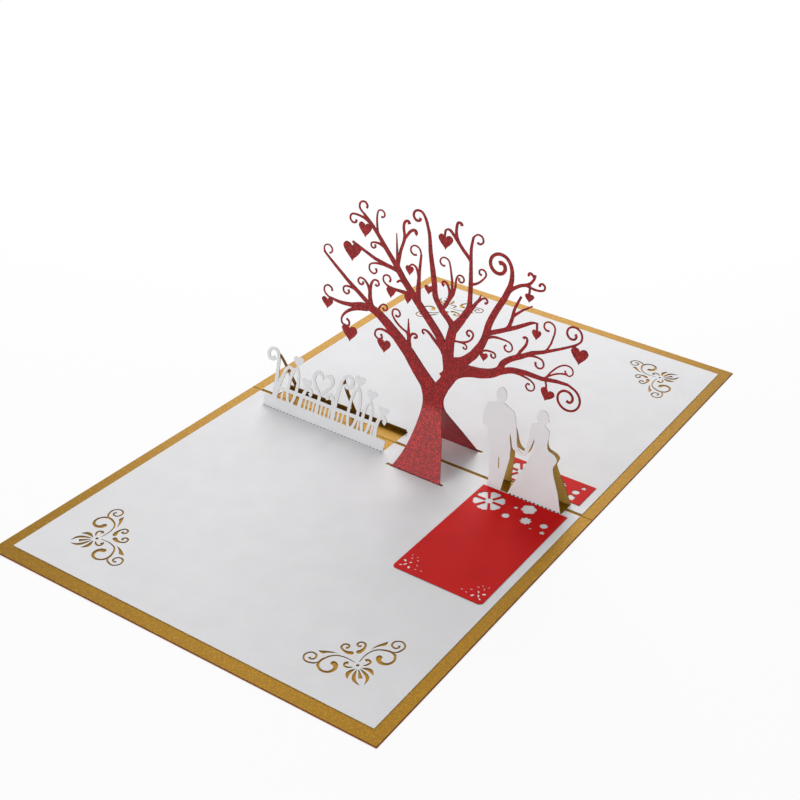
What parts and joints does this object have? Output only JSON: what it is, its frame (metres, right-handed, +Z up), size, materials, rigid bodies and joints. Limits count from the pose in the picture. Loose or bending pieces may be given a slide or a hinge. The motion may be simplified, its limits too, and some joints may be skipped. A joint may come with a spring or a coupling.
{
  "type": "pop up card",
  "caption": "Open pop up greeting card: cut paper tree with curls and hearts, a couple and a scroll strip stand over two framed white pages.",
  "frame": {"origin": "middle of the spine on the underside of the cover", "axes": "+X along the spine, +Y from the spine to the back page, +Z up from the cover's underside"},
  "size_m": [0.18, 0.3, 0.1142],
  "materials": {
    "cover_card": "matt maroon card",
    "gold_card": "pearl gold card with a fine linen grain",
    "white_card": "matt white card",
    "red_card": "deep red pearl card",
    "panel_card": "bright red card"
  },
  "bodies": {
    "root": {"outer_cover": "cover_card", "gold_sheet": "gold_card", "front_liner": "white_card", "back_liner": "white_card", "scroll_support": "gold_card", "couple_support": "gold_card", "tree_front": "red_card", "tree_back": "red_card", "message_panel": "panel_card", "flower_panel": "panel_card"}
  },
  "joints": []
}
